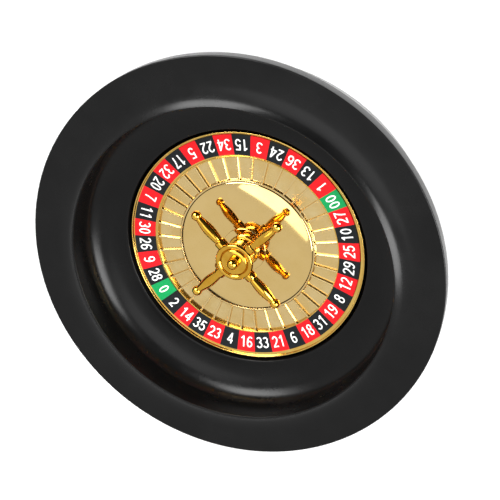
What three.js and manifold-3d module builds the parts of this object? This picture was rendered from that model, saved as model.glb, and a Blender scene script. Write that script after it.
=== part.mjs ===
// A home roulette wheel: a moulded bowl, and a plated rotor with its turret that spins on a steel spindle.
// Millimetres, +Z up, origin on the table under the spindle's axis. At rest the turret's arms lie along X and Y.
import * as THREE from "three";
import { mergeVertices } from "three/addons/utils/BufferGeometryUtils.js";
import Module from "manifold-3d";

const wasm = await Module();
wasm.setup();

// ---- driving dimensions ----
const GAP = 0.3; // left between pieces that touch
const BRIM_RADIUS = 152.4; // a 12 inch bowl
const BRIM_TOP = 52;
const LIP_RADIUS = 118.4; // inner edge of the bowl's raised lip
const LIP_TOP = 56.4;
const RING_FACE = 15.6; // printed face of the number ring, at its outer edge
const RING_DISH = 2.4; // how far the ring falls towards the pockets
const WALL = 2.6; // moulded wall of the bowl
const POCKETS = 38;
const PITCH = 360 / POCKETS;
const ZERO_ANGLE = 80.1; // middle of the pocket marked 0, in degrees from +X
const RIM_RADIUS = 90.1;
const WELL_RADIUS = 92.3; // mouth of the well that the rotor turns in
const POCKET_OUTER = 69.8;
const POCKET_INNER = 52.7;
const POCKET_FLOOR = RING_FACE - 5.6;
const DOME_RADIUS = 50.6;
const DOME_EDGE = RING_FACE - 3.5;
const DOME_RISE = 4.0;
const ARM_AXIS = RING_FACE + 19.5;
const ARM_REACH = 42.5; // spindle axis to the middle of an arm's ball
const FEET_CIRCLE = 78;
const SPINDLE_RADIUS = 3;

const wheel = new THREE.Group();

// ---- finishes ----
const finish = (color, roughness, metalness) =>
  new THREE.MeshStandardMaterial({ color, roughness, metalness });
const blackPlastic = finish("#202022", 0.3, 0);
const goldPlate = finish("#d9a531", 0.15, 1);
const paleGold = finish("#e3c27a", 0.12, 1);
const printedFilm = finish("#b4202a", 0.4, 0);
const steel = finish("#a9abad", 0.3, 1);
const brass = finish("#b5924c", 0.35, 1);
const nylon = finish("#e8e4d8", 0.5, 0);
const rubber = finish("#262626", 0.9, 0);

// ---- shape helpers ----
const rad = THREE.MathUtils.degToRad;

// Points of a round stretch of an outline, angles in degrees from +r towards +z.
function arc(r, z, radius, from, to, steps) {
  return Array.from({ length: steps + 1 }, (_, i) => {
    const a = rad(from + ((to - from) * i) / steps);
    return [r + radius * Math.cos(a), z + radius * Math.sin(a)];
  });
}

// A solid of revolution about Z. An outline that doesn't end on the axis closes on itself.
function turned(outline, segments) {
  const points = outline.map(([r, z]) => new THREE.Vector2(Math.max(r, 0), z));
  if (points[0].x > 0) points.push(points[0].clone());
  if (THREE.ShapeUtils.area(points) < 0) points.reverse();
  return new THREE.LatheGeometry(points, segments).rotateX(Math.PI / 2);
}

// A flat outline given height, drawn in X and Y.
function plate(shape, z, height) {
  return new THREE.ExtrudeGeometry(shape, { depth: height, bevelEnabled: false, curveSegments: 24 })
    .translate(0, 0, z);
}

// A geometry as a solid that can be joined and cut.
function solid(geometry) {
  const bare = geometry.clone();
  bare.deleteAttribute("normal");
  bare.deleteAttribute("uv");
  const merged = mergeVertices(bare, 1e-4);
  return new wasm.Manifold(new wasm.Mesh({
    numProp: 3,
    vertProperties: merged.attributes.position.array,
    triVerts: new Uint32Array(merged.index.array),
  }));
}

function surface(body) {
  const mesh = body.getMesh();
  return new THREE.BufferGeometry()
    .setAttribute("position", new THREE.BufferAttribute(mesh.vertProperties, 3))
    .setIndex(new THREE.BufferAttribute(mesh.triVerts, 1));
}

function add(name, geometry, material, parent = wheel) {
  const mesh = new THREE.Mesh(geometry, material);
  mesh.name = name;
  parent.add(mesh);
  return mesh;
}

// A curve from a point, as [radius, height]. Each bend is [length along the radius, slope at its end, steps].
function swept(start, bends) {
  const points = [start];
  let [r, z] = start;
  let slope = 0;
  for (const [length, end, steps] of bends) {
    for (let k = 0; k < steps; k++) {
      r += length / steps;
      z += (Math.tan(rad(slope + ((end - slope) * (k + 0.5)) / steps)) * Math.abs(length)) / steps;
      points.push([r, z]);
    }
    slope = end;
  }
  return points;
}

// ---- bowl: one moulding, apron, ball track and raised lip inside the brim, skirt outside, open underneath ----
const BRIM_EDGE = 9.4; // upright edge of the brim
const SKIRT_FOOT = 138.5;
const SKIRT_BOTTOM = 2;
const FLARE_FOOT = 134.5; // where the flat brim begins to rise to the lip
const TRACK_WALL = [120.2, 36]; // foot of the wall that the ball runs against
const APRON_EDGE = RING_FACE + 3;
const FLOOR_TOP = 5.6;
const FLOOR_UNDER = 2.6;
const BOSS_TOP = 10.4;
const NUT_RECESS = 9; // radius of the recess under the boss
const NUT_RECESS_TOP = 7.4;
const SPINDLE_HOLE = SPINDLE_RADIUS + GAP;

const flare = swept([FLARE_FOOT, BRIM_TOP], [[-10.2, 18, 4], [-4.9, 40, 4]]).reverse();
const bowlFace = [
  [SPINDLE_HOLE, BOSS_TOP],
  [9.2, BOSS_TOP],
  [10.6, FLOOR_TOP],
  [WELL_RADIUS - 2.6, FLOOR_TOP],
  [WELL_RADIUS, FLOOR_TOP + 2.6],
  [WELL_RADIUS, APRON_EDGE - 0.5],
  [WELL_RADIUS + 0.4, APRON_EDGE],
  ...swept([93.4, APRON_EDGE + 0.15], [[3.6, 4, 1], [15, 27, 5], [4.7, 42, 3], [1.9, 55, 2], [1.4, 75, 2]]),
  TRACK_WALL,
  [LIP_RADIUS, LIP_TOP - 0.6],
  [LIP_RADIUS + 0.5, LIP_TOP - 0.05],
  ...flare,
  [BRIM_RADIUS - 0.8, BRIM_TOP],
  [BRIM_RADIUS, BRIM_TOP - 0.8],
  [BRIM_RADIUS, BRIM_TOP - BRIM_EDGE],
  [BRIM_RADIUS - 0.9, BRIM_TOP - BRIM_EDGE - 0.5],
  [SKIRT_FOOT, SKIRT_BOTTOM],
];
const bowlBack = [
  [SKIRT_FOOT - WALL, SKIRT_BOTTOM],
  [BRIM_RADIUS - 0.9 - WALL, BRIM_TOP - BRIM_EDGE - 0.5],
  [BRIM_RADIUS - 0.9 - WALL, BRIM_TOP - WALL],
  [FLARE_FOOT + 0.4, BRIM_TOP - WALL],
  [124.9, BRIM_TOP - 1.3],
  [TRACK_WALL[0] + WALL, BRIM_TOP - 1.6],
  [TRACK_WALL[0] + WALL, TRACK_WALL[1] - 4],
  [TRACK_WALL[0] + 0.6, TRACK_WALL[1] - 7.4],
  [113.8, 20.6],
  [104, 17.4],
  [WELL_RADIUS + WALL, APRON_EDGE - 2.7],
  [WELL_RADIUS + WALL, FLOOR_TOP + 1.2],
  [WELL_RADIUS - 1.6, FLOOR_UNDER],
  [NUT_RECESS, FLOOR_UNDER],
  [NUT_RECESS, NUT_RECESS_TOP],
  [SPINDLE_HOLE, NUT_RECESS_TOP],
];
add("bowl_shell", turned([...bowlFace, ...bowlBack], 48), blackPlastic);

// ---- feet: four moulded rubber discs under the floor of the well ----
const FOOT_RADIUS = 8;
for (let i = 0; i < 4; i++) {
  const foot = add(
    "rubber_foot_" + (i + 1),
    turned([[0, 0], [FOOT_RADIUS - 1, 0], [FOOT_RADIUS, 1], [FOOT_RADIUS, FLOOR_UNDER - GAP],
      [0, FLOOR_UNDER - GAP]], 12),
    rubber,
  );
  const a = rad(45 + 90 * i);
  foot.position.set(FEET_CIRCLE * Math.cos(a), FEET_CIRCLE * Math.sin(a), 0);
}

// ---- spindle: steel pin with a collar on the boss, held from below by a washer and a nut ----
const COLLAR_TOP = BOSS_TOP + 2.0;
const SPINDLE_TOP = 27.4;
const CLAMP_WASHER_TOP = NUT_RECESS_TOP - GAP;
const CLAMP_WASHER_UNDER = CLAMP_WASHER_TOP - 1.2;
const CLAMP_NUT_TOP = CLAMP_WASHER_UNDER - GAP;
const CLAMP_NUT_UNDER = CLAMP_NUT_TOP - 4;

add("spindle", turned([
  [0, CLAMP_NUT_UNDER - 0.6],
  [SPINDLE_RADIUS - 0.5, CLAMP_NUT_UNDER - 0.6],
  [SPINDLE_RADIUS, CLAMP_NUT_UNDER],
  [SPINDLE_RADIUS, BOSS_TOP + GAP],
  [6, BOSS_TOP + GAP],
  [6, COLLAR_TOP],
  [SPINDLE_RADIUS, COLLAR_TOP],
  [SPINDLE_RADIUS, SPINDLE_TOP - 0.6],
  [SPINDLE_RADIUS - 0.6, SPINDLE_TOP],
  [0, SPINDLE_TOP],
], 16), steel);

function washer(name, inner, outer, under, top, material) {
  return add(name, turned([[inner, under], [outer, under], [outer, top], [inner, top]], 16), material);
}

// A hexagon nut, across flats as given, with a flange under it where one is wanted.
function hexNut(name, acrossFlats, under, top, flange) {
  const corner = acrossFlats / Math.sqrt(3);
  const outline = new THREE.Shape();
  for (let i = 0; i < 6; i++)
    outline[i ? "lineTo" : "moveTo"](corner * Math.cos(rad(60 * i)), corner * Math.sin(rad(60 * i)));
  outline.closePath();
  let body = solid(plate(outline, under, top - under));
  if (flange) body = body.add(solid(turned([[0, under], [flange, under], [flange, under + 1], [0, under + 1.6]], 16)));
  const bore = turned([[0, under - 1], [SPINDLE_HOLE, under - 1], [SPINDLE_HOLE, top + 1], [0, top + 1]], 16);
  return add(name, surface(body.subtract(solid(bore))), steel);
}

washer("spindle_washer", SPINDLE_HOLE, 7, CLAMP_WASHER_UNDER, CLAMP_WASHER_TOP, steel);
hexNut("spindle_nut", 10, CLAMP_NUT_UNDER, CLAMP_NUT_TOP, 0);

// ---- bearing: a nylon thrust washer on the collar, a flanged brass bush pressed in the rotor ----
const THRUST_UNDER = COLLAR_TOP + GAP;
const THRUST_TOP = THRUST_UNDER + 0.8;
const BUSH_UNDER = THRUST_TOP + GAP;
const BUSH_TOP = 21;
const BUSH_BORE = SPINDLE_RADIUS + 0.1;
const BUSH_RADIUS = 5;
const BUSH_FLANGE = 6.6;
washer("thrust_washer", SPINDLE_HOLE, BUSH_FLANGE, THRUST_UNDER, THRUST_TOP, nylon);

// The rotor group holds everything that spins.
const rotor = new THREE.Group();
wheel.add(rotor);

add("bearing_bush", turned([
  [BUSH_BORE, BUSH_UNDER],
  [BUSH_FLANGE, BUSH_UNDER],
  [BUSH_FLANGE, BUSH_UNDER + 1.2],
  [BUSH_RADIUS, BUSH_UNDER + 1.2],
  [BUSH_RADIUS, BUSH_TOP],
  [BUSH_BORE, BUSH_TOP],
], 16), brass, rotor);
hexNut("spindle_top_nut", 8, BUSH_TOP + GAP, BUSH_TOP + GAP + 4, 5.4);

// ---- rotor pan: web, sleeve for the bush, floor of the pockets, and the lip round the dome ----
const PAN_UNDER = POCKET_FLOOR - 2;
const SLEEVE_INNER = BUSH_RADIUS + GAP;
const SLEEVE_OUTER = 7.2;
const SLEEVE_UNDER = BUSH_UNDER + 1.2 + GAP;
add("rotor_pan", turned([
  [SLEEVE_INNER, SLEEVE_UNDER],
  [BUSH_FLANGE + GAP, SLEEVE_UNDER],
  [BUSH_FLANGE + GAP, PAN_UNDER + 4],
  [12.4, PAN_UNDER + 1.2],
  [20, PAN_UNDER],
  [POCKET_OUTER - GAP, PAN_UNDER],
  [POCKET_OUTER - GAP, POCKET_FLOOR],
  [POCKET_INNER, POCKET_FLOOR],
  [POCKET_INNER - 0.2, DOME_EDGE - 0.2],
  [POCKET_INNER - 0.5, DOME_EDGE],
  [DOME_RADIUS + GAP, DOME_EDGE],
  [DOME_RADIUS + GAP, POCKET_FLOOR],
  [20, POCKET_FLOOR],
  [13.4, POCKET_FLOOR + 1.2],
  [10.6, POCKET_FLOOR + 3.2],
  [9.0, POCKET_FLOOR + 4.3],
  [9.0, SLEEVE_UNDER + 0.5],
  [SLEEVE_OUTER, SLEEVE_UNDER + 0.5],
  [SLEEVE_OUTER, BUSH_TOP - 1.2],
  [SLEEVE_INNER, BUSH_TOP - 1.2],
], POCKETS), goldPlate, rotor);

// ---- rotor rim: outer wall of the pockets, dished seat of the number ring, raised bead at the edge ----
const FILM_OUTER = 87.1;
const FILM_INNER = 71.3;
const FILM_THICKNESS = 0.4;
const SEAT_PLAY = 0.45; // under the film, which lies a little off centre on the dished seat
const SEAT = RING_FACE - FILM_THICKNESS - SEAT_PLAY;
const BEAD_INNER = 89.0;
const BEAD_TOP = RING_FACE + 1.3;
const dished = (r) => (RING_DISH * (r - FILM_OUTER)) / (FILM_OUTER - FILM_INNER);
const SEAT_INNER = SEAT + dished(POCKET_OUTER);
add("rotor_rim", turned([
  [POCKET_OUTER, PAN_UNDER],
  [POCKET_OUTER + 2, PAN_UNDER],
  [POCKET_OUTER + 2.4, SEAT + dished(POCKET_OUTER + 2.4) - 2.2],
  [RIM_RADIUS - 2.4, SEAT + dished(RIM_RADIUS - 2.4) - 2.2],
  [RIM_RADIUS - 2, PAN_UNDER + 1.5],
  [RIM_RADIUS, PAN_UNDER + 1.5],
  [RIM_RADIUS, BEAD_TOP - 0.4],
  [RIM_RADIUS - 0.4, BEAD_TOP],
  [BEAD_INNER + 0.2, BEAD_TOP],
  [BEAD_INNER, SEAT + dished(BEAD_INNER)],
  [POCKET_OUTER, SEAT_INNER],
], POCKETS), goldPlate, rotor);

// ---- number ring: printed film, laid on its seat a little off centre ----
const FILM_SHIFT = [0.95, 0.15];
const FILM_DROP = RING_FACE - RING_DISH;
const film = add("number_ring", turned([
  [FILM_INNER, FILM_DROP - FILM_THICKNESS],
  [FILM_OUTER, RING_FACE - FILM_THICKNESS],
  [FILM_OUTER, RING_FACE],
  [FILM_INNER, FILM_DROP],
], POCKETS), printedFilm, rotor);
film.position.set(...FILM_SHIFT, 0);

// ---- frets: low ribs that part the pockets, from the dome's lip to the seat of the ring ----
const FRET_THICKNESS = 1.3;
const fretSide = new THREE.Shape([
  new THREE.Vector2(POCKET_INNER + GAP, POCKET_FLOOR + GAP),
  new THREE.Vector2(POCKET_OUTER - GAP, POCKET_FLOOR + GAP),
  new THREE.Vector2(POCKET_OUTER - GAP, SEAT_INNER - 0.1),
  new THREE.Vector2(POCKET_INNER + GAP, DOME_EDGE - 0.1),
]);
const fretBlade = new THREE.ExtrudeGeometry(fretSide, { depth: FRET_THICKNESS, bevelEnabled: false })
  .translate(0, 0, -FRET_THICKNESS / 2)
  .rotateX(Math.PI / 2);
for (let i = 0; i < POCKETS; i++) {
  const fret = add("fret_" + String(i + 1).padStart(2, "0"), fretBlade, goldPlate, rotor);
  fret.rotation.z = rad(ZERO_ANGLE + PITCH * (i + 0.5));
}

// ---- centre dome: shallow polished cap over the web of the pan ----
const DOME_THICKNESS = 1.4;
const DOME_HOLE = 9.4;
const domeHeight = (r) => DOME_EDGE + DOME_RISE * (1 - (r / DOME_RADIUS) ** 3);
const domeStations = Array.from({ length: 6 }, (_, i) =>
  DOME_HOLE + ((DOME_RADIUS - DOME_HOLE) * i) / 5);
add("centre_dome", turned([
  ...domeStations.map((r) => [r, domeHeight(r)]),
  ...domeStations.toReversed().map((r) => [r, domeHeight(r) - DOME_THICKNESS]),
], 38), paleGold, rotor);

// ---- turret post: hollow turned column that stands on the dome ----
const turret = new THREE.Group();
rotor.add(turret);
const FOOT_FLANGE = 16.6;
const POST_UNDER = domeHeight(DOME_HOLE) + GAP;
const POST_TOP = ARM_AXIS - 5.4;
const POST_BORE = 7.6;
add("turret_post", turned([
  [POST_BORE, POST_UNDER],
  [FOOT_FLANGE, POST_UNDER],
  [FOOT_FLANGE, POST_UNDER + 0.8],
  [11.6, POST_UNDER + 1.0],
  ...arc(10.5, POST_UNDER + 2.0, 1.0, -40, 90, 3),
  [9.6, POST_UNDER + 3.4],
  [8.9, POST_UNDER + 5.4],
  ...arc(9.0, POST_UNDER + 7.2, 1.0, -70, 70, 3),
  [8.8, POST_UNDER + 9.2],
  ...arc(9.0, POST_UNDER + 11.2, 1.1, -60, 60, 3),
  [8.8, POST_TOP],
  [0, POST_TOP],
  [0, POST_TOP - 1.2],
  [POST_BORE - 1.2, POST_TOP - 1.2],
  [POST_BORE, POST_TOP - 2.4],
], 20), goldPlate, turret);

// ---- hub: drum that takes the arms, with a rounded collar above them ----
const HUB_UNDER = POST_TOP + GAP;
const HUB_TOP = ARM_AXIS + 5.0;
const GROOVE = 10.2;
const CAP_RECESS = 1.6;
const ARM_SEAT = 10.6; // flat face of the hub's socket
const SOCKET = 3.0;
const ARM_ROOT = 8.4;
const hubDrum = solid(turned([
  [0, HUB_UNDER],
  [9.0, HUB_UNDER],
  [11.2, HUB_UNDER + 1.8],
  [11.6, ARM_AXIS],
  [11.9, ARM_AXIS + 2.4],
  [13.4, ARM_AXIS + 2.8],
  ...arc(12.9, HUB_TOP - 1.4, 1.4, -50, 110, 5),
  [GROOVE, HUB_TOP - 0.9],
  [GROOVE, HUB_TOP - CAP_RECESS],
  [0, HUB_TOP - CAP_RECESS],
], 24));
const socketCut = solid(
  new THREE.CylinderGeometry(SOCKET + GAP, SOCKET + GAP, 20, 12)
    .rotateZ(-Math.PI / 2)
    .translate(ARM_ROOT - GAP + 10, 0, ARM_AXIS),
);
const collarCut = solid(
  new THREE.CylinderGeometry(4.4 + GAP, 4.4 + GAP, 12, 12)
    .rotateZ(-Math.PI / 2)
    .translate(ARM_SEAT + 6, 0, ARM_AXIS),
);
let hub = hubDrum;
for (let i = 0; i < 4; i++)
  hub = hub.subtract(socketCut.rotate([0, 0, 90 * i])).subtract(collarCut.rotate([0, 0, 90 * i]));
add("turret_hub", surface(hub), goldPlate, turret);

// ---- finial: domed cap with a small ball, pressed in the top of the hub ----
const CAP_RADIUS = GROOVE - GAP;
const CAP_UNDER = HUB_TOP - CAP_RECESS + GAP;
const FINIAL_BALL = 4.2;
const FINIAL_CENTRE = ARM_AXIS + 7.2;
add("turret_finial", turned([
  [0, CAP_UNDER],
  [CAP_RADIUS, CAP_UNDER],
  [CAP_RADIUS, HUB_TOP - 0.9],
  [CAP_RADIUS - 0.8, HUB_TOP - 0.1],
  [7.4, HUB_TOP + 0.5],
  [5.4, HUB_TOP + 0.3],
  [3.6, HUB_TOP + 0.2],
  ...arc(0, FINIAL_CENTRE, FINIAL_BALL, -22, 90, 5),
], 20), goldPlate, turret);

// ---- arms: turned bars with a collar at the hub and a ball at the tip ----
const ARM_BALL = 3.75;
const armOutline = [
  [0, ARM_ROOT],
  [SOCKET, ARM_ROOT],
  [SOCKET, ARM_SEAT + GAP],
  [4.1, ARM_SEAT + GAP],
  [4.35, 12.6],
  [4.35, 17.6],
  [3.9, 18.4],
  [3.3, 18.6],
  [3.9, 23.5],
  [4.25, 28.8],
  [3.9, 33],
  [3.15, 37],
  [2.75, ARM_REACH - 2.6],
  ...arc(0, ARM_REACH, ARM_BALL, -34, 90, 5),
];
const armBar = turned(armOutline, 12).rotateY(Math.PI / 2);
for (let i = 0; i < 4; i++) {
  const arm = add("turret_arm_" + (i + 1), armBar, goldPlate, turret);
  arm.position.z = ARM_AXIS;
  arm.rotation.z = rad(90 * i);
}

export default wheel;
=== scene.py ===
# A home roulette wheel: a black moulded bowl, and a gold plated rotor with its turret that spins on a steel spindle.
# Sizes are in millimetres where they are written, and metres in the meshes. The pieces come in assembly order.
import math

import bmesh
import bpy
from mathutils import Matrix, Vector


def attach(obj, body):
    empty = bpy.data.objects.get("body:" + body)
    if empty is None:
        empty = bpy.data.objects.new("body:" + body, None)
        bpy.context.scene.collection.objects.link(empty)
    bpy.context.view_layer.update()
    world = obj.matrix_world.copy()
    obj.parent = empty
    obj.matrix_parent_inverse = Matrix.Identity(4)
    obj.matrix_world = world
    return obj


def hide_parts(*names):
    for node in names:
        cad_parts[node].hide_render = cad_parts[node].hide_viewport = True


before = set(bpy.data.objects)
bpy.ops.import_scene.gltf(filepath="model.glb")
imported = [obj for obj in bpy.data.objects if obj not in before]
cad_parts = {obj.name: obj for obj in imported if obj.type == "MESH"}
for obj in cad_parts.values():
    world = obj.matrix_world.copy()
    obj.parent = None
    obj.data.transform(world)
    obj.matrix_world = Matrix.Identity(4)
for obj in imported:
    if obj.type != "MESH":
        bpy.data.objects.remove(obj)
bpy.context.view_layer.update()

# ---- bowl -------------------------------------------------------------------------------------------------
# The bowl is one glossy black ABS moulding: a flat brim, a hollow flare up to a thin lip, the track that the ball
# runs in under the lip, the apron it falls down, and a well for the rotor. A tapered skirt stands under the brim.


def rounded(corners, finest=9):
    """A closed outline of (radius, height) from corners of (radius, height, bend), each eased by an arc."""
    outline = []
    for i, (r, z, bend) in enumerate(corners):
        here = Vector((r, z))
        before = Vector(corners[i - 1][:2]) - here
        after = Vector(corners[(i + 1) % len(corners)][:2]) - here
        opening = before.angle(after)
        if bend == 0 or opening > math.radians(178):
            outline.append((r, z))
            continue
        reach = min(bend / math.tan(opening / 2), 0.48 * before.length, 0.48 * after.length)
        start = here + before.normalized() * reach
        end = here + after.normalized() * reach
        bend = reach * math.tan(opening / 2)
        middle = here + (before.normalized() + after.normalized()).normalized() * bend / math.sin(opening / 2)
        first = math.atan2(*(start - middle).yx)
        sweep = (math.atan2(*(end - middle).yx) - first + math.pi) % math.tau - math.pi
        steps = max(3, math.ceil(abs(math.degrees(sweep)) / finest))
        for k in range(steps + 1):
            a = first + sweep * k / steps
            outline.append((middle.x + bend * math.cos(a), middle.y + bend * math.sin(a)))
    return outline


def turned(name, outline, steps=192, crisp=32):
    """A piece turned about Z from an outline in mm. A radius may be a function of the angle, as on a hexagon."""
    sheet = bmesh.new()
    rings = []
    for r, z in outline:
        count = 1 if r == 0 else steps
        ring = []
        for i in range(count):
            a = math.tau * i / steps
            radius = (r(a) if callable(r) else r) / 1000
            ring.append(sheet.verts.new((radius * math.cos(a), radius * math.sin(a), z / 1000)))
        rings.append(ring)
    open_ends = outline[0][0] == 0 and outline[-1][0] == 0
    for near, far in zip(rings, rings[1:] if open_ends else rings[1:] + rings[:1]):
        for i in range(steps):
            j = (i + 1) % steps
            loop = dict.fromkeys([near[i % len(near)], near[j % len(near)], far[j % len(far)], far[i % len(far)]])
            if len(loop) > 2:
                sheet.faces.new(loop)
    return finished(name, sheet, crisp)


def finished(name, sheet, crisp=32):
    """A mesh object from a bmesh, shaded smooth but for edges sharper than crisp degrees."""
    bmesh.ops.recalc_face_normals(sheet, faces=sheet.faces)
    mesh = bpy.data.meshes.new(name)
    sheet.to_mesh(mesh)
    sheet.free()
    mesh.shade_smooth()
    mesh.set_sharp_from_angle(angle=math.radians(crisp))
    piece = bpy.data.objects.new(name, mesh)
    bpy.context.scene.collection.objects.link(piece)
    return piece


def fitted(piece, body, slot, *cad_nodes):
    """Puts a piece on its body and lets it stand for the CAD nodes it shows, which it hides. The slot is not used."""
    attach(piece, body)
    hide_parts(*cad_nodes)
    return piece


def linear(shade):
    """An sRGB hex colour as the linear colour that a shader takes."""
    parts = [int(shade[i:i + 2], 16) / 255 for i in (1, 3, 5)]
    return (*[c / 12.92 if c <= 0.04045 else ((c + 0.055) / 1.055) ** 2.4 for c in parts], 1)


def add_node(tree, kind, inputs=(), **settings):
    """Adds a node: settings are its properties, inputs its sockets, each a value or the output that feeds it."""
    made = tree.nodes.new("ShaderNode" + kind)
    for key, value in settings.items():
        setattr(made, key, value)
    for key, value in dict(inputs).items():
        if isinstance(value, bpy.types.NodeSocket):
            tree.links.new(value, made.inputs[key])
        else:
            made.inputs[key].default_value = value
    return made


def per_mm(size):
    """The noise scale, in metres of object space, whose pattern repeats about every size mm."""
    return 1000 / size


def surface(name, **sockets):
    """A material, its node tree and its shader, with the values that are the same all over set on the shader."""
    made = bpy.data.materials.new(name)
    made.use_nodes = True
    shader = made.node_tree.nodes["Principled BSDF"]
    for socket, value in sockets.items():
        shader.inputs[socket.replace("_", " ")].default_value = value
    return made, made.node_tree, shader


# Injection moulded ABS off a polished tool: deep black, a clear gloss with faint orange peel, and a thin haze of
# handling that dulls it in patches a few centimetres across.
abs_gloss, tree, shader = surface("abs_moulded_gloss_black", Specular_IOR_Level=0.2, IOR=1.5)
place = add_node(tree, "TexCoord").outputs["Object"]
haze = add_node(tree, "TexNoise", {"Vector": place, "Scale": per_mm(34), "Detail": 4, "Roughness": 0.6})
tree.links.new(add_node(tree, "MapRange", {
    "Value": haze.outputs["Fac"], "From Min": 0.35, "From Max": 0.7, "To Min": 0.235, "To Max": 0.30,
}).outputs["Result"], shader.inputs["Roughness"])
tone = add_node(tree, "ValToRGB", {"Fac": haze.outputs["Fac"]})
tree.links.new(tone.outputs["Color"], shader.inputs["Base Color"])
ramp = tone.color_ramp
ramp.elements[0].position, ramp.elements[0].color = 0.3, linear("#0A0A0A")
ramp.elements[1].position, ramp.elements[1].color = 0.8, linear("#0F0F0F")
peel = add_node(tree, "TexNoise", {"Vector": place, "Scale": per_mm(2.2), "Detail": 2})
tree.links.new(add_node(tree, "Bump", {
    "Height": peel.outputs["Fac"], "Strength": 0.12, "Distance": 0.00012,
}).outputs["Normal"], shader.inputs["Normal"])

BRIM = 52
LIP_RADIUS, LIP_TOP = 118.4, 56.4
EDGE_RADIUS = 152.4


def swept(start, bends):
    """Points of a curve from (radius, height). A bend is (length along the radius, slope at its end in degrees)."""
    points, (r, z), slope = [start], start, 0
    for length, end in bends:
        steps = max(4, round(abs(end - slope) / 2.5))
        for k in range(steps):
            z += math.tan(math.radians(slope + (end - slope) * (k + 0.5) / steps)) * length / steps
            r += length / steps
            points.append((r, z))
        slope = end
    return points


# From the well the apron lifts from level to 27 degrees and rolls up to the wall, which leans in a little over the
# track and ends in a thin rounded lip. Outside the lip the face falls away in a hollow curve to the flat brim.
apron = swept((93.4, 18.75), [(3.6, 4), (15, 27), (4.7, 42), (1.9, 55), (1.4, 75)])
FLARE_FOOT = 134.5
flare = [(2 * FLARE_FOOT - r, z) for r, z in reversed(swept((FLARE_FOOT, BRIM), [(10.2, 18), (4.9, 39.9)]))]
well = rounded([
    (3.3, 7.4, 0), (3.3, 10.4, 0.2), (9.2, 10.4, 0.6), (10.6, 5.6, 1.2), (89.7, 5.6, 3), (92.3, 8.2, 1.6),
    (92.3, 18.4, 0.5), (*apron[0], 0),
], finest=12)
wall_and_lip = rounded([
    (*apron[-1], 0), (120.6, 34.4, 6), (LIP_RADIUS, LIP_TOP - 0.1, 0.5), (119.1, LIP_TOP - 0.16, 0.5), (*flare[0], 0),
], finest=9)[1:-1]
skirt_and_underside = rounded([
    (EDGE_RADIUS, BRIM, 0.9), (EDGE_RADIUS, 42.6, 0.6), (151.2, 42.0, 0.6), (138.5, 2.0, 0.6), (135.9, 2.0, 0.6),
    (148.9, 42.2, 0.8), (148.9, 49.4, 0.8), (134.9, 49.4, 3), (124.6, 51.0, 1), (122.8, 50.4, 1), (122.8, 31.5, 3),
    (113.8, 20.6, 4), (95.4, 16.0, 1), (94.9, 6.8, 1.2), (90.7, 2.6, 1), (9, 2.6, 0.5), (9, 7.4, 0.3),
], finest=12)
bowl = turned("bowl_moulding", well + apron[1:] + wall_and_lip + flare + skirt_and_underside, steps=288)
bowl.data.materials.append(abs_gloss)
fitted(bowl, "bowl", "black_moulding", "bowl_shell")

# ---- feet -------------------------------------------------------------------------------------------------
# Four pads of black rubber under the floor of the well keep the wheel from creeping. Each is a moulded disc with a
# dished face, pushed on with adhesive film.
rubber, tree, shader = surface("rubber_moulded_matt", Roughness=0.82, Specular_IOR_Level=0.35)
place = add_node(tree, "TexCoord").outputs["Object"]
bloom = add_node(tree, "TexNoise", {"Vector": place, "Scale": per_mm(3.5), "Detail": 5})
tone = add_node(tree, "ValToRGB", {"Fac": bloom.outputs["Fac"]})
tree.links.new(tone.outputs["Color"], shader.inputs["Base Color"])
ramp = tone.color_ramp
ramp.elements[0].color, ramp.elements[1].color = linear("#1B1B1C"), linear("#313133")
grain = add_node(tree, "TexNoise", {"Vector": place, "Scale": per_mm(0.5), "Detail": 3})
tree.links.new(add_node(tree, "Bump", {
    "Height": grain.outputs["Fac"], "Strength": 0.4, "Distance": 0.0001,
}).outputs["Normal"], shader.inputs["Normal"])

FEET_CIRCLE = 78
for i in range(4):
    pad = turned(f"foot_pad_{i + 1}", rounded([
        (0, 0.5, 0), (5.2, 0.5, 0.4), (5.8, 0, 0.3), (7.1, 0, 0.3), (8, 1.0, 0.6), (8, 2.5, 0.3), (0, 2.5, 0),
    ]), steps=64)
    pad.data.materials.append(rubber)
    a = math.radians(45 + 90 * i)
    pad.location = (FEET_CIRCLE * math.cos(a) / 1000, FEET_CIRCLE * math.sin(a) / 1000, 0)
    fitted(pad, "bowl", "foot_rubber", f"rubber_foot_{i + 1}")

# ---- spindle and its fixings ------------------------------------------------------------------------------
# A zinc plated steel pin stands on the bowl's boss by its collar. A washer and a hexagon nut clamp it from below,
# and a small flanged nut on its top keeps the rotor on.


def metal(name, pale, deep, smooth, rough, patch, wave):
    """A metal whose tone and roughness wander over patches, with a shallow wave in its surface. Sizes in mm."""
    made, tree, shader = surface(name, Metallic=1.0)
    place = add_node(tree, "TexCoord").outputs["Object"]
    cloud = add_node(tree, "TexNoise", {"Vector": place, "Scale": per_mm(patch), "Detail": 4, "Roughness": 0.55})
    tone = add_node(tree, "ValToRGB", {"Fac": cloud.outputs["Fac"]})
    tone.color_ramp.elements[0].position, tone.color_ramp.elements[0].color = 0.3, linear(deep)
    tone.color_ramp.elements[1].position, tone.color_ramp.elements[1].color = 0.7, linear(pale)
    tree.links.new(tone.outputs["Color"], shader.inputs["Base Color"])
    tree.links.new(add_node(tree, "MapRange", {
        "Value": cloud.outputs["Fac"], "From Min": 0.3, "From Max": 0.7, "To Min": rough, "To Max": smooth,
    }).outputs["Result"], shader.inputs["Roughness"])
    ripple = add_node(tree, "TexNoise", {"Vector": place, "Scale": per_mm(wave[0]), "Detail": 1})
    tree.links.new(add_node(tree, "Bump", {
        "Height": ripple.outputs["Fac"], "Strength": wave[1], "Distance": 0.0002,
    }).outputs["Normal"], shader.inputs["Normal"])
    return made


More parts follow.
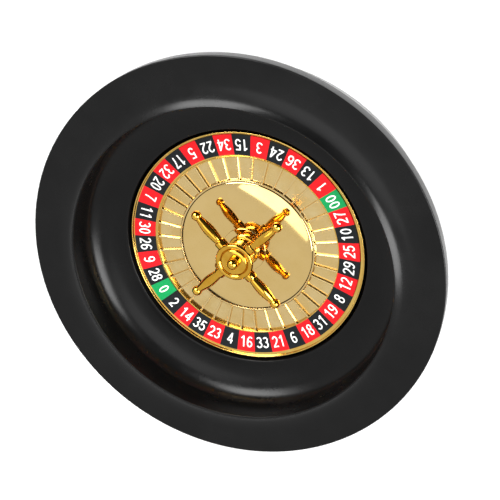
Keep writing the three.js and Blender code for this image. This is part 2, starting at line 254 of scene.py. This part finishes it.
zinc_steel = metal("steel_zinc_plated", "#C9CCCE", "#9DA1A5", 0.24, 0.38, 6, (0.8, 0.15))

spindle = turned("steel_spindle", rounded([
    (0, 1.0, 0), (2.5, 1.0, 0), (3, 1.6, 0.2), (3, 10.7, 0.1), (6, 10.7, 0.3), (6, 12.4, 0.4), (3, 12.4, 0.2),
    (3, 26.8, 0.2), (2.4, 27.4, 0), (0, 27.4, 0),
]), steps=96)
clamp_washer = turned("clamp_washer", rounded([(3.3, 5.9, 0.1), (7, 5.9, 0.3), (7, 7.1, 0.3), (3.3, 7.1, 0.1)]), 96)


def hexagon(flats, cap):
    """The radius of a hexagon across flats at an angle, cut back to a circle of radius cap by its chamfer."""
    return lambda a: min(flats / 2 / math.cos((a + math.pi / 6) % (math.pi / 3) - math.pi / 6), cap)


def nut(name, flats, under, top, flange=None):
    """A chamfered hexagon nut on the spindle, with a pressed flange under it where one is given."""
    corner = flats / math.sqrt(3)
    skirt = [(flange, under), (flange, under + 0.8), (flats / 2, under + 1.6)] if flange else [
        (hexagon(flats, flats / 2 - 0.2), under)]
    rise = under + (1.6 if flange else 0.5)
    return turned(name, [(3.3, under), *skirt, (hexagon(flats, corner), rise), (hexagon(flats, corner), top - 0.5),
                         (hexagon(flats, flats / 2 - 0.2), top), (3.7, top), (3.3, top - 0.4)], steps=96, crisp=20)


clamp_nut = nut("clamp_nut", 10, 1.6, 5.6)
flange_nut = nut("flange_nut", 8, 21.3, 25.3, flange=5.4)
for piece, node in ((spindle, "spindle"), (clamp_washer, "spindle_washer"), (clamp_nut, "spindle_nut"),
                    (flange_nut, "spindle_top_nut")):
    piece.data.materials.append(zinc_steel)
    fitted(piece, "bowl", "spindle_steel", node)

# ---- thrust washer ----------------------------------------------------------------------------------------
# A natural nylon washer lies on the spindle's collar, and the bush's flange turns on it.
nylon, tree, shader = surface("nylon_moulded_natural", Roughness=0.45, Subsurface_Weight=0.2)
shader.inputs["Subsurface Radius"].default_value = (0.002, 0.0018, 0.0014)
place = add_node(tree, "TexCoord").outputs["Object"]
cloud = add_node(tree, "TexNoise", {"Vector": place, "Scale": per_mm(4), "Detail": 3})
tone = add_node(tree, "ValToRGB", {"Fac": cloud.outputs["Fac"]})
tree.links.new(tone.outputs["Color"], shader.inputs["Base Color"])
ramp = tone.color_ramp
ramp.elements[0].color, ramp.elements[1].color = linear("#DDD8C8"), linear("#F0ECE0")
thrust = turned("nylon_thrust_washer", rounded([
    (3.3, 12.7, 0.1), (6.6, 12.7, 0.2), (6.6, 13.5, 0.2), (3.3, 13.5, 0.1),
]), 96)
thrust.data.materials.append(nylon)
fitted(thrust, "bowl", "washer_nylon", "thrust_washer")

# ---- bearing bush -----------------------------------------------------------------------------------------
# A flanged bush of turned brass is pressed in the rotor's sleeve and runs on the pin.
turned_brass = metal("brass_turned", "#C9A765", "#A5803F", 0.22, 0.34, 5, (0.6, 0.15))
bush = turned("brass_bush", rounded([
    (3.1, 13.8, 0.2), (6.6, 13.8, 0.3), (6.6, 15.0, 0.3), (5, 15.0, 0.2), (5, 21, 0.4), (3.1, 21, 0.2),
]), 96)
bush.data.materials.append(turned_brass)
fitted(bush, "rotor", "bush_brass", "bearing_bush")

# ---- rotor pan --------------------------------------------------------------------------------------------
# The pan is moulded plastic, vacuum metallised in pale gold under a clear lacquer: its web carries the bush, its flat
# annulus is the pockets' floor, and a low lip runs round the dome. The plating shows the ripple of the moulding.
satin_gold = metal("plating_vacuum_pale_gold", "#F0D59A", "#E4C27C", 0.15, 0.22, 14, (11, 0.25))
POCKET_FLOOR = 10
pan = turned("pan_moulding", rounded([
    (5.3, 15.3, 0), (6.9, 15.3, 0), (6.9, 12, 0.5), (12.4, 9.2, 2), (20, 8, 2), (69.5, 8, 0.3),
    (69.75, POCKET_FLOOR, 0), (52.9, POCKET_FLOOR, 0.4), (52.55, 11.7, 0.3), (52.2, 12.1, 0.3), (50.95, 12.1, 0.25),
    (50.9, POCKET_FLOOR, 0.3), (20, POCKET_FLOOR, 2), (13.4, 11.2, 2), (10.6, 13.2, 1), (9, 14.3, 0.4), (9, 15.8, 0.2),
    (7.2, 15.8, 0.2), (7.2, 19.8, 0.3), (5.3, 19.8, 0.2),
]), steps=304)
pan.data.materials.append(satin_gold)
fitted(pan, "rotor", "gold_plating", "rotor_pan")

# ---- rotor rim --------------------------------------------------------------------------------------------
# The rim closes the pockets' outer ends, seats the number ring, and ends in a raised bead just proud of the film.
# It is the same moulded and metallised plastic, in a deeper gold.
bright_gold = metal("plating_vacuum_deep_gold", "#F0CC74", "#E4B556", 0.11, 0.17, 11, (5, 0.18))
RING_FACE, RING_DISH = 15.6, 2.4
FILM_INNER, FILM_OUTER = 71.3, 87.1


def dished(r, below=0.0):
    """Height of the dished ring at a radius, or so far below its face."""
    return RING_FACE - below + RING_DISH * (r - FILM_OUTER) / (FILM_OUTER - FILM_INNER)


rim = turned("rim_moulding", rounded([
    (69.8, 8, 0.2), (71.8, 8, 0.4), (72.2, dished(72.2, 3), 0.6), (87.7, dished(87.7, 3), 0.6), (88.1, 9.5, 0.4),
    (90.1, 9.5, 0.4), (90.1, 16.9, 0.5), (88.9, 16.9, 0.5), (88.8, dished(88.8, 0.8), 0.15),
    (71.0, dished(71.0, 0.8), 0.1), (70.85, dished(70.85, 0.2), 0.2), (69.85, dished(69.85, 0.2), 0.25),
]), steps=304)
rim.data.materials.append(bright_gold)
fitted(rim, "rotor", "gold_plating", "rotor_rim")

# ---- number ring ------------------------------------------------------------------------------------------
# A ring of PVC film is screen printed with 38 sectors in red, black and green, die cut, and laid on the rim by hand,
# a little off centre. The numerals are white ink, read from outside the wheel, with their tops to the turret.
NUMBERS = ("0 28 9 26 30 11 7 20 32 17 5 22 34 15 3 24 36 13 1 00 27 10 25 29 12 8 19 31 18 6 21 33 16 4 23 35 14 "
           "2").split()
BLACK_NUMBERS = "28 26 11 20 17 22 15 24 13 10 29 8 31 6 33 4 35 2".split()
PITCH = 360 / len(NUMBERS)
ZERO_ANGLE = 80.1
FILM_SHIFT = Vector((0.95, 0.15)) / 1000


def printed(name, shade, worn, coat=0.12):
    """Screen ink under a clear film: even colour with a faint mottle of the mesh, and a soft gloss over it."""
    made, tree, shader = surface(name, Roughness=0.42, Specular_IOR_Level=0.18, Coat_Weight=coat, Coat_Roughness=0.22)
    place = add_node(tree, "TexCoord").outputs["Object"]
    mottle = add_node(tree, "TexNoise", {"Vector": place, "Scale": per_mm(1.4), "Detail": 3})
    tone = add_node(tree, "ValToRGB", {"Fac": mottle.outputs["Fac"]})
    tone.color_ramp.elements[0].position, tone.color_ramp.elements[0].color = 0.35, linear(shade)
    tone.color_ramp.elements[1].position, tone.color_ramp.elements[1].color = 0.8, linear(worn)
    tree.links.new(tone.outputs["Color"], shader.inputs["Base Color"])
    tree.links.new(add_node(tree, "Bump", {
        "Height": mottle.outputs["Fac"], "Strength": 0.08, "Distance": 0.00005,
    }).outputs["Normal"], shader.inputs["Normal"])
    return made


inks = [printed("ink_screen_red", "#D41018", "#DC1A22"), printed("ink_screen_black", "#0E1214", "#171B1E"),
        printed("ink_screen_green", "#0A8A48", "#129655")]
FACETS = 12
film = turned("numbered_film", [
    (r, dished(r, below)) for r, below in (
        (FILM_INNER, 0.4), (FILM_OUTER, 0.4), (FILM_OUTER, 0.05), (FILM_OUTER - 0.05, 0), (FILM_INNER + 0.05, 0),
        (FILM_INNER, 0.05))
], steps=len(NUMBERS) * FACETS)
for ink in inks:
    film.data.materials.append(ink)
for face in film.data.polygons:
    angle = math.degrees(math.atan2(face.center.y, face.center.x))
    number = NUMBERS[int(-angle // PITCH) % len(NUMBERS)]
    face.material_index = 2 if number in ("0", "00") else int(number in BLACK_NUMBERS)
film.data.transform(Matrix.Translation(FILM_SHIFT.to_3d()) @ Matrix.Rotation(
    math.radians(ZERO_ANGLE + PITCH / 2), 4, "Z"))
fitted(film, "rotor", "printed_film", "number_ring")


def bow(x, y, across, up, start, end):
    """Points of an elliptic stretch of a numeral, angles in degrees."""
    count = max(3, round(abs(end - start) / 12))
    return [(x + across * math.cos(math.radians(start + (end - start) * k / count)),
             y + up * math.sin(math.radians(start + (end - start) * k / count))) for k in range(count + 1)]


# Each numeral is drawn by pen strokes in a box 0.5 wide and 1 high. A ring stroke joins its end to its start.
RING_STROKE = "closed"
PEN = 0.118
STROKES = {
    "0": [(RING_STROKE, bow(0.25, 0.5, 0.175, 0.43, 0, 348))],
    "1": [("", [(0.30, 0.0), (0.30, 1.0)]), ("", [(0.09, 0.765), (0.20, 0.83), (0.30, 0.97)])],
    "2": [("", [*bow(0.25, 0.69, 0.185, 0.245, 165, -25), (0.33, 0.42), (0.16, 0.22), (0.085, 0.07)]),
          ("", [(0.02, 0.067), (0.465, 0.067)])],
    "3": [("", bow(0.235, 0.725, 0.175, 0.21, 155, -90)), ("", bow(0.235, 0.295, 0.20, 0.23, 90, -158))],
    "4": [("", [(0.36, 0.95), (0.05, 0.30)]), ("", [(0.0, 0.285), (0.49, 0.285)]),
          ("", [(0.365, 0.0), (0.365, 1.0)])],
    "5": [("", [(0.45, 0.933), (0.12, 0.933)]), ("", [(0.135, 0.99), (0.085, 0.47)]),
          ("", bow(0.24, 0.33, 0.195, 0.265, 146, -158))],
    "6": [(RING_STROKE, bow(0.25, 0.305, 0.185, 0.24, 0, 348)), ("", bow(0.30, 0.46, 0.235, 0.475, 52, 190))],
    "7": [("", [(0.03, 0.933), (0.47, 0.933)]), ("", [(0.42, 0.93), (0.31, 0.66), (0.22, 0.35), (0.18, 0.0)])],
    "8": [(RING_STROKE, bow(0.25, 0.735, 0.165, 0.2, 0, 348)), (RING_STROKE, bow(0.25, 0.295, 0.19, 0.23, 0, 348))],
}
STROKES["9"] = [(kind, [(0.5 - x, 1 - y) for x, y in line]) for kind, line in STROKES["6"]]
INK_DEPTH = 0.012


def pen_stroke(kind, line, lift):
    """One pen stroke as a thin closed solid along its line. lift keeps crossing strokes off each other's faces."""
    points = [Vector(p) for p in line]
    count = len(points)
    sheet = bmesh.new()
    rails = []
    for k, point in enumerate(points):
        ahead = points[(k + 1) % count] if kind or k < count - 1 else point
        behind = points[k - 1] if kind or k else point
        along = (ahead - behind).normalized()
        side = Vector((-along.y, along.x)) * PEN / 2
        rails.append([sheet.verts.new((*(point + s * side), z)) for s, z in (
            (1, -lift), (-1, -lift), (-1, INK_DEPTH + lift), (1, INK_DEPTH + lift))])
    for k in range(count if kind else count - 1):
        one, two = rails[k], rails[(k + 1) % count]
        for c in range(4):
            sheet.faces.new([one[c], one[(c + 1) % 4], two[(c + 1) % 4], two[c]])
    if not kind:
        sheet.faces.new(rails[0])
        sheet.faces.new(rails[-1])
    return finished("pen_stroke", sheet)


def numeral(figure):
    """The mesh of one numeral: its strokes joined into a single outline."""
    strokes = [pen_stroke(kind, line, 0.0004 * k) for k, (kind, line) in enumerate(STROKES[figure])]
    whole = strokes[0]
    for other in strokes[1:]:
        join = whole.modifiers.new("join", "BOOLEAN")
        join.operation, join.solver, join.object = "UNION", "EXACT", other
    mesh = bpy.data.meshes.new_from_object(whole.evaluated_get(bpy.context.evaluated_depsgraph_get()))
    for stroke in strokes:
        bpy.data.objects.remove(stroke)
    return mesh


RING_MIDDLE = (FILM_INNER + FILM_OUTER) / 2
NUMERAL_HEIGHT = 9.0
NUMERAL_STEP = 0.575
numerals = {figure: numeral(figure) for figure in STROKES}
sheet = bmesh.new()
for k, number in enumerate(NUMBERS):
    around = math.radians(ZERO_ANGLE - PITCH * k)
    width = NUMERAL_STEP * (len(number) - 1) + 0.5
    for n, figure in enumerate(number):
        # The numeral's own right is anticlockwise round the ring, and its top points to the turret.
        to_ring = (Matrix.Translation((*FILM_SHIFT, dished(RING_MIDDLE) / 1000))
                   @ Matrix.Rotation(around - math.pi / 2, 4, "Z") @ Matrix.Translation((0, RING_MIDDLE / 1000, 0))
                   @ Matrix.Rotation(math.atan(RING_DISH / (FILM_OUTER - FILM_INNER)), 4, "X")
                   @ Matrix.Rotation(math.pi, 4, "Z")
                   @ Matrix.Scale(NUMERAL_HEIGHT / 1000, 4)
                   @ Matrix.Translation((n * NUMERAL_STEP - width / 2, -0.5, 0)))
        copy = numerals[figure].copy()
        copy.transform(to_ring)
        sheet.from_mesh(copy)
white_print = finished("printed_numerals", sheet, crisp=40)
white_print.data.materials.append(printed("ink_screen_white", "#F4F4F2", "#FBFBFA"))
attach(white_print, "rotor")

# ---- frets ------------------------------------------------------------------------------------------------
# Thirty-eight low ribs part the pockets. They are moulded with the pan, with flat tops and a little draft on their
# flanks, and are metallised with it.
FRET_FOOT, FRET_TOP = 1.6, 1.35
FRET_INNER, FRET_OUTER, FRET_HEIGHT = 52.6, 69.85, 12.05


def fret_section():
    """The rib's outline across its length, as (across, height) in mm."""
    ease = 0.12
    side = [(FRET_FOOT / 2, POCKET_FLOOR - 0.15), (FRET_TOP / 2, FRET_HEIGHT - ease),
            (FRET_TOP / 2 - ease * 0.3, FRET_HEIGHT - ease * 0.3), (FRET_TOP / 2 - ease, FRET_HEIGHT)]
    return side + [(-y, z) for y, z in reversed(side)]


sheet = bmesh.new()
rows = []
for step in range(13):
    radius = FRET_INNER + (FRET_OUTER - FRET_INNER) * step / 12
    rows.append([sheet.verts.new((radius / 1000, y / 1000, z / 1000)) for y, z in fret_section()])
for near, far in zip(rows, rows[1:]):
    for c in range(len(near)):
        sheet.faces.new([near[c - 1], near[c], far[c], far[c - 1]])
sheet.faces.new(rows[0])
sheet.faces.new(rows[-1])
blade = finished("pocket_fret_01", sheet, crisp=50)
blade.data.materials.append(satin_gold)
frets = [blade] + [bpy.data.objects.new(f"pocket_fret_{i:02d}", blade.data)
                   for i in range(2, len(NUMBERS) + 1)]
for i, fret in enumerate(frets):
    if i:
        bpy.context.scene.collection.objects.link(fret)
    fret.rotation_euler.z = math.radians(ZERO_ANGLE + PITCH * (i + 0.5))
    fitted(fret, "rotor", "gold_plating", f"fret_{i + 1:02d}")

# ---- centre dome ------------------------------------------------------------------------------------------
# A shallow spun cap covers the web. It is polished and metallised in pale gold, so it mirrors the turret, with only
# a breath of haze and a faint wave in its face.
dome_gold = metal("plating_vacuum_mirror_gold", "#EFCF8C", "#E7C57D", 0.055, 0.10, 26, (18, 0.05))
DOME_EDGE, DOME_RISE, DOME_RADIUS, DOME_HOLE = 12.1, 4.0, 50.6, 9.4


def dome_height(r):
    """Height of the dome's face: nearly flat in the middle, falling faster towards its edge."""
    return DOME_EDGE + DOME_RISE * (1 - (r / DOME_RADIUS) ** 3)


radii = [DOME_HOLE + (DOME_RADIUS - 0.35 - DOME_HOLE) * k / 48 for k in range(49)]
dome = turned("polished_dome", [
    *[(r, dome_height(r)) for r in radii], (DOME_RADIUS - 0.08, DOME_EDGE - 0.1), (DOME_RADIUS, DOME_EDGE - 0.35),
    (DOME_RADIUS - 0.1, DOME_EDGE - 1.3), *[(r, dome_height(r) - 1.4) for r in reversed(radii)],
], steps=288)
dome.data.materials.append(dome_gold)
fitted(dome, "rotor", "dome_mirror", "centre_dome")

# ---- turret post ------------------------------------------------------------------------------------------
# The post is a hollow turned column on a thin foot: beads and coves below the hub, gold plated and polished.
turret_gold = metal("plating_polished_gold", "#E8B84C", "#D89F30", 0.10, 0.15, 8, (6, 0.05))
post = turned("post_column", rounded([
    (7.6, 16.37, 0), (16.6, 16.37, 0.25), (16.6, 17.17, 0.3), (11.8, 17.3, 0.4), (11.6, 18.9, 0.9), (9.9, 19.5, 0.5),
    (9.5, 20.3, 0.5), (8.9, 22.2, 1.2), (9.3, 22.7, 0.3), (10.2, 23.0, 0.5), (10.2, 24.3, 0.6), (9.2, 24.8, 0.3),
    (8.8, 25.6, 0.5), (9.2, 26.5, 0.3), (10.2, 26.9, 0.5), (10.2, 28.3, 0.6), (9.0, 28.8, 0.4), (8.8, 29.9, 0.2),
    (0.001, 29.9, 0), (0.001, 28.5, 0), (6.4, 28.5, 0.4), (7.6, 27.3, 0.4),
], finest=12), steps=160)
post.data.materials.append(turret_gold)
post.data.materials.append(dome_gold)
FOOT_FACE = 17.4 / 1000  # the thin foot below this height is finished with the dome
for face in post.data.polygons:
    face.material_index = int(face.center.z < FOOT_FACE)
fitted(post, "rotor", "gold_plating", "turret_post")

# ---- hub --------------------------------------------------------------------------------------------------
# The hub's drum takes the four arms in sockets. A rounded collar overhangs them, and a turned groove parts it from
# the cap.
hub = turned("hub_drum", rounded([
    (0.001, 29.9, 0), (9.0, 29.9, 0.4), (11.2, 31.8, 1.0), (11.6, 35.1, 2), (11.9, 37.4, 0.4), (13.9, 37.9, 0.8),
    (14.3, 38.8, 1.2), (13.2, 40.2, 1.3), (11.2, 40.3, 0.8), (10.25, 39.4, 0.3), (10.15, 38.6, 0.1), (0.001, 38.5, 0),
], finest=8), steps=160)
hub.data.materials.append(turret_gold)
fitted(hub, "rotor", "gold_plating", "turret_hub")

# ---- finial -----------------------------------------------------------------------------------------------
# A cap with a small ball is pressed in the top of the hub: a rounded edge, a shallow dish, and the ball on its neck.
BALL, BALL_CENTRE = 4.2, 42.3
finial = turned("finial_cap", [
    (0, 38.8),
    *rounded([(0.001, 38.8, 0), (9.9, 38.8, 0.1), (9.9, 39.3, 0.3), (9.2, 40.1, 0.9), (7.4, 40.6, 1.6),
              (5.6, 40.35, 1.2), (3.75, 40.3, 0.3)], finest=10)[1:],
    *[(BALL * math.cos(math.radians(a)), BALL_CENTRE + BALL * math.sin(math.radians(a))) for a in range(-26, 89, 6)],
    (0, BALL_CENTRE + BALL),
], steps=128)
finial.data.materials.append(turret_gold)
fitted(finial, "rotor", "gold_plating", "turret_finial")

# ---- arms -------------------------------------------------------------------------------------------------
# Each of the four arms is a bar turned in one piece: a round collar that seats on the drum, a groove, a long swelling
# grip, and a ball at the tip. A spigot holds it in the hub, and it is polished and plated after turning.
ARM_AXIS, ARM_REACH, ARM_BALL = 35.1, 42.5, 3.75
arm_outline = [
    (0, 8.6), (2.9, 8.6), (3.0, 8.9), (3.0, 10.6), (4.0, 10.9), (4.3, 11.3), (4.4, 12.6), (4.4, 17.2), (4.2, 17.9),
    (3.7, 18.3), (3.35, 18.5), (3.3, 18.8), (3.45, 19.6), (3.7, 21.3), (3.98, 24), (4.18, 26.6), (4.25, 28.8),
    (4.15, 31), (3.85, 33.2), (3.45, 35.4), (3.05, 37.4), (2.8, 38.9), (2.72, 39.6),
    *[(ARM_BALL * math.cos(math.radians(a)), ARM_REACH + ARM_BALL * math.sin(math.radians(a)))
      for a in range(-43, 89, 6)],
    (0, ARM_REACH + ARM_BALL),
]
bar = turned("arm_bar_1", arm_outline, steps=96)
bar.data.transform(Matrix.Translation((0, 0, ARM_AXIS / 1000)) @ Matrix.Rotation(math.pi / 2, 4, "Y"))
bar.data.materials.append(turret_gold)
for i in range(4):
    arm = bar if i == 0 else bpy.data.objects.new(f"arm_bar_{i + 1}", bar.data)
    if i:
        bpy.context.scene.collection.objects.link(arm)
    arm.rotation_euler.z = math.radians(90 * i)
    fitted(arm, "rotor", "gold_plating", f"turret_arm_{i + 1}")

# ---- studio -----------------------------------------------------------------------------------------------
# A pale floor, and soft light from panels round and over the wheel. The camera stands high over the near brim, and
# is rolled on its axis, so the wheel is seen with its far side to the lower left.
CAMERA_TURN = 11.7  # degrees round Z from the wheel's own front

floor_paint, tree, shader = surface("floor_painted_pale", Roughness=0.6, Specular_IOR_Level=0.2)
place = add_node(tree, "TexCoord").outputs["Object"]
cloud = add_node(tree, "TexNoise", {"Vector": place, "Scale": per_mm(220), "Detail": 2})
tone = add_node(tree, "ValToRGB", {"Fac": cloud.outputs["Fac"]})
tree.links.new(tone.outputs["Color"], shader.inputs["Base Color"])
ramp = tone.color_ramp
ramp.elements[0].color, ramp.elements[1].color = linear("#F7F7F7"), linear("#FAFAFA")
sheet = bmesh.new()
bmesh.ops.create_grid(sheet, x_segments=8, y_segments=8, size=6)
floor = finished("studio_floor", sheet)
floor.data.materials.append(floor_paint)


def softbox(name, turn, height, away, width, tall, brightness):
    """A panel light that faces the wheel, turn degrees round from the camera's side and height degrees up."""
    panel = bpy.data.lights.new(name, "AREA")
    panel.shape, panel.size, panel.size_y = "RECTANGLE", width, tall
    panel.energy = brightness * math.pi * width * tall
    lamp = bpy.data.objects.new(name, panel)
    round_z, up = math.radians(CAMERA_TURN + turn - 90), math.radians(height)
    toward = Vector((math.cos(up) * math.cos(round_z), math.cos(up) * math.sin(round_z), math.sin(up)))
    lamp.location = toward * away + Vector((0, 0, 0.03))
    lamp.rotation_euler = toward.to_track_quat("Z", "Y").to_euler()
    bpy.context.scene.collection.objects.link(lamp)


softbox("left_panel", -61, 38, 1.3, 0.7, 0.7, 15)
softbox("right_panel", 63, 38, 1.3, 0.7, 0.7, 15)
softbox("overhead_panel", 0, 87, 1.3, 0.9, 0.6, 1.9)

room = bpy.data.worlds.new("studio_room")
bpy.context.scene.world = room
room.use_nodes = True
tree = room.node_tree
# The room is bright behind the wheel and falls to near dark on the camera's side, which the black brim mirrors.
direction = add_node(tree, "TexCoord").outputs["Generated"]
turned_back = add_node(tree, "Mapping", {"Vector": direction, "Rotation": (0, 0, -math.radians(CAMERA_TURN))})
parts = add_node(tree, "SeparateXYZ", {"Vector": turned_back.outputs["Vector"]})
behind = add_node(tree, "MapRange", {"Value": parts.outputs["Y"], "From Min": -0.55, "From Max": 0.35,
                                     "To Min": 0.05, "To Max": 0.8}, interpolation_type="SMOOTHSTEP")
seen = add_node(tree, "LightPath").outputs["Is Camera Ray"]
glow = add_node(tree, "Mix", {"Factor": seen, "A": behind.outputs["Result"], "B": 1.0})
backdrop = tree.nodes["Background"]
backdrop.inputs["Color"].default_value = linear("#F8F8F8")
tree.links.new(glow.outputs["Result"], backdrop.inputs["Strength"])

lens = bpy.data.cameras.new("studio_camera")
lens.lens, lens.sensor_width = 73.3, 36
camera = bpy.data.objects.new("studio_camera", lens)
camera.matrix_world = (
    Matrix.Translation((0.0742, -0.3759, 0.6572)) @ Matrix.Rotation(math.radians(CAMERA_TURN), 4, "Z")
    @ Matrix.Rotation(math.radians(90 - 59.3), 4, "X") @ Matrix.Rotation(math.radians(218.15), 4, "Z"))
bpy.context.scene.collection.objects.link(camera)
bpy.context.scene.camera = camera
bpy.context.scene.view_settings.view_transform = "Standard"
